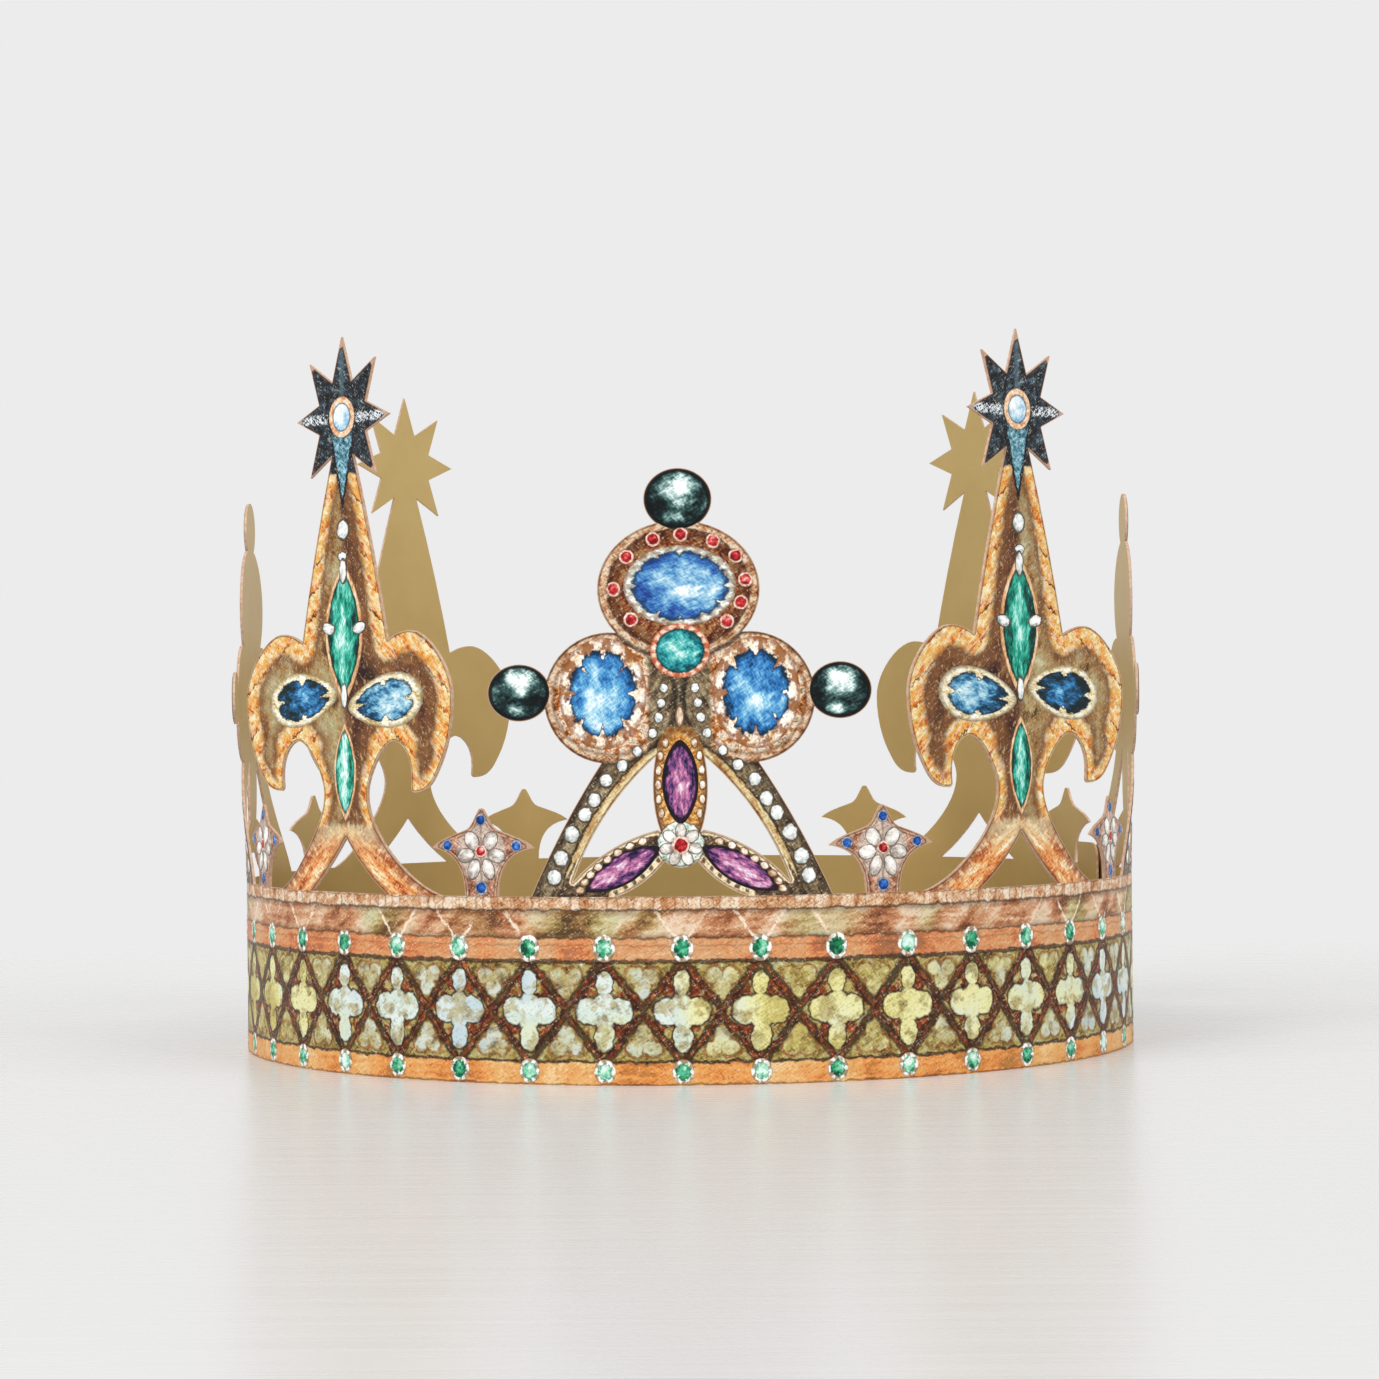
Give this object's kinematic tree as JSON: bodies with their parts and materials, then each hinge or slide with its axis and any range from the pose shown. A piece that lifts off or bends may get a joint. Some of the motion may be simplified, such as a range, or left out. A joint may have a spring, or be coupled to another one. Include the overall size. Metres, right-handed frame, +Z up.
{
  "type": "paper crown",
  "caption": "Ring crown cut from one strip of printed card: jewelled band with a cut-out rim of fleurs, arches and sprigs, its ends locked by crossing slits.",
  "frame": {"origin": "middle of the ring, at the height of the band's bottom edge, which is what it stands on", "axes": "+Z up through the ring's middle; -Y towards the front, where the front arched ornament stands; +X to the wearer's left as seen from the front"},
  "size_m": [0.1806, 0.1805, 0.1383],
  "materials": {
    "printed_card": "satin"
  },
  "bodies": {
    "root": {"crown_strip": "printed_card"}
  },
  "joints": []
}
